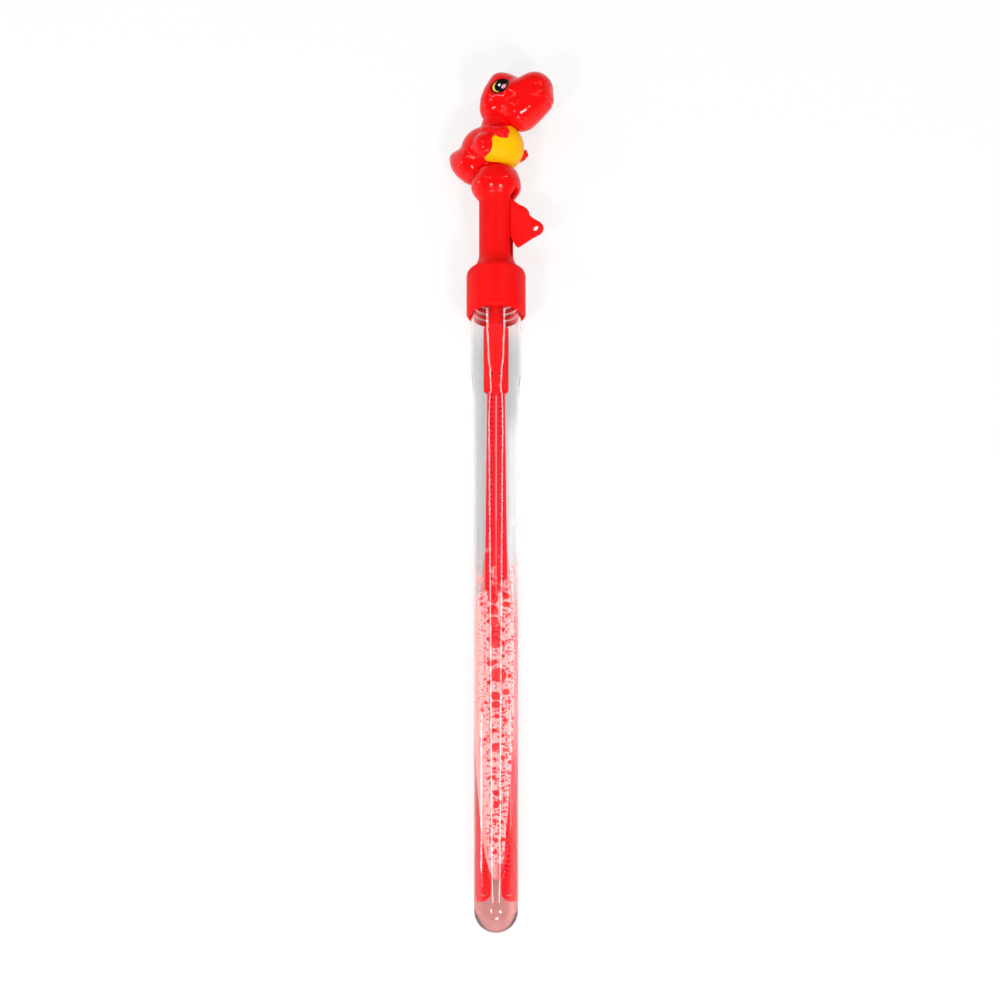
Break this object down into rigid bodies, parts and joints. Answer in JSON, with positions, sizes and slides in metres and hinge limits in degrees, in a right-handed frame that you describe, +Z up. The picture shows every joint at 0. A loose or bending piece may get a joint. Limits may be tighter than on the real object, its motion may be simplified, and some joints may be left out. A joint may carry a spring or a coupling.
{
  "type": "bubble wand",
  "caption": "Closed tube of bubble solution with a screw cap, a dinosaur-topped trigger handle and long ribbed arms that hang in the tube and spread when the trigger is squeezed.",
  "frame": {"origin": "on the tube's axis, at the centre of its round end", "axes": "+Y along the tube from its round end to the figure, +Z up from the table that the wand lies on, +X to the side that the trigger is on"},
  "size_m": [0.0503, 0.4569, 0.0327],
  "materials": {
    "clear_pet": "clear, glossy",
    "soft_seal": "soft, matt",
    "red_plastic": "moulded, half-glossy",
    "yellow_plastic": "moulded, half-glossy",
    "white_plastic": "moulded",
    "steel_pin": "drawn wire",
    "spring_steel": "drawn wire"
  },
  "bodies": {
    "tube": {"tube": "clear_pet"},
    "seal": {"sealing_washer": "soft_seal"},
    "handle": {"screw_cap": "red_plastic", "wand_stem": "red_plastic", "handle_near_shell": "red_plastic", "handle_far_shell": "red_plastic", "body_near_shell": "red_plastic", "body_far_shell": "red_plastic", "belly_plate": "yellow_plastic", "head_near_shell": "red_plastic", "head_far_shell": "red_plastic", "forelimb_near": "red_plastic", "forelimb_far": "red_plastic", "trigger_pin": "steel_pin", "return_spring": "spring_steel", "arm_pins": "steel_pin"},
    "trigger": {"trigger": "red_plastic"},
    "push_rod": {"push_rod": "white_plastic", "link_pin": "steel_pin"},
    "arm_left": {"arm_left": "red_plastic"},
    "arm_right": {"arm_right": "red_plastic"}
  },
  "joints": [
    {"name": "draw", "type": "slide", "parent": "tube", "child": "seal", "axis": [0, 1, 0], "range_m": [0, 0.345]},
    {"name": "twist", "type": "hinge", "parent": "seal", "child": "handle", "pos_m": [0, 0.3373, 0], "axis": [0, 1, 0], "continuous": true},
    {"name": "squeeze", "type": "hinge", "parent": "handle", "child": "trigger", "pos_m": [-0.00323, 0.3861, -0.00131], "axis": [0.3746, 0, -0.9272], "range_deg": [0, 18], "stiffness_Nm_per_rad": 0.04, "springref_deg": -8.59, "deforming": ["return_spring"]},
    {"name": "push", "type": "slide", "parent": "handle", "child": "push_rod", "axis": [0, -1, 0], "range_m": [0, 0.0016], "deforming": ["return_spring"]},
    {"name": "spread_left", "type": "hinge", "parent": "handle", "child": "arm_left", "pos_m": [-0.0022, 0.284, 0], "axis": [0, 0, -1], "range_deg": [0, 0.45]},
    {"name": "spread_right", "type": "hinge", "parent": "handle", "child": "arm_right", "pos_m": [0.0022, 0.284, 0], "axis": [0, 0, 1], "range_deg": [0, 0.45]}
  ],
  "couplings": [
    {"joint": "push", "follows": "squeeze", "m_per_rad": 0.0049},
    {"joint": "spread_left", "follows": "squeeze", "ratio": 0.0233},
    {"joint": "spread_right", "follows": "squeeze", "ratio": 0.0233}
  ]
}
